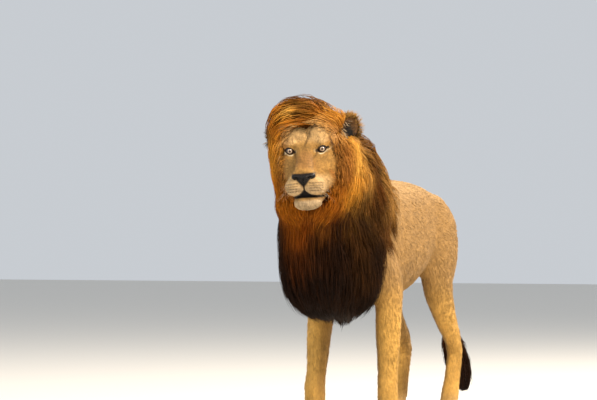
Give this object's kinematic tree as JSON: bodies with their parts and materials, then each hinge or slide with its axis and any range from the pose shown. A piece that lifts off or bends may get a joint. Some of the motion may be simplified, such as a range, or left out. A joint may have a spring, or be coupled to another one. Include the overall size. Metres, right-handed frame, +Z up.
{
  "type": "lion, life-size standing model",
  "caption": "Life-size still model of a male lion standing alert, head turned to its left, with a full wind-swept mane, dark on the chest, and the tail hanging.",
  "frame": {"origin": "middle of the footprint of the whole animal, on the floor under the paws", "axes": "+Z up, the lion faces -Y and its left side is +X"},
  "size_m": [0.4548, 2.0164, 1.4308],
  "materials": {
    "coat": "short tawny fur, lying back and down",
    "face_fur": "very short tawny fur, paler round the eyes, muzzle and chin",
    "paw_fur": "short pale fur",
    "mane_gold": "long golden to rust brown hair in locks",
    "mane_dark": "long dark brown hair in locks",
    "eye": "wet, glossy, pale amber iris with a small round pupil and dark rims",
    "nose_leather": "dark, finely pebbled, slightly moist skin"
  },
  "bodies": {
    "root": {"head": "face_fur", "nose": "nose_leather", "eye_left": "eye", "eye_right": "eye", "ear_left": "face_fur", "ear_right": "face_fur", "neck": "coat", "trunk": "coat", "foreleg_left": "coat", "foreleg_right": "coat", "forepaw_left": "paw_fur", "forepaw_right": "paw_fur", "hindleg_left": "coat", "hindleg_right": "coat", "hindpaw_left": "paw_fur", "hindpaw_right": "paw_fur", "tail": "coat", "tail_tuft": "mane_dark", "mane_crown": "mane_gold", "mane_left": "mane_gold", "mane_right": "mane_gold", "mane_chest_left": "mane_dark", "mane_chest_right": "mane_dark"}
  },
  "joints": []
}
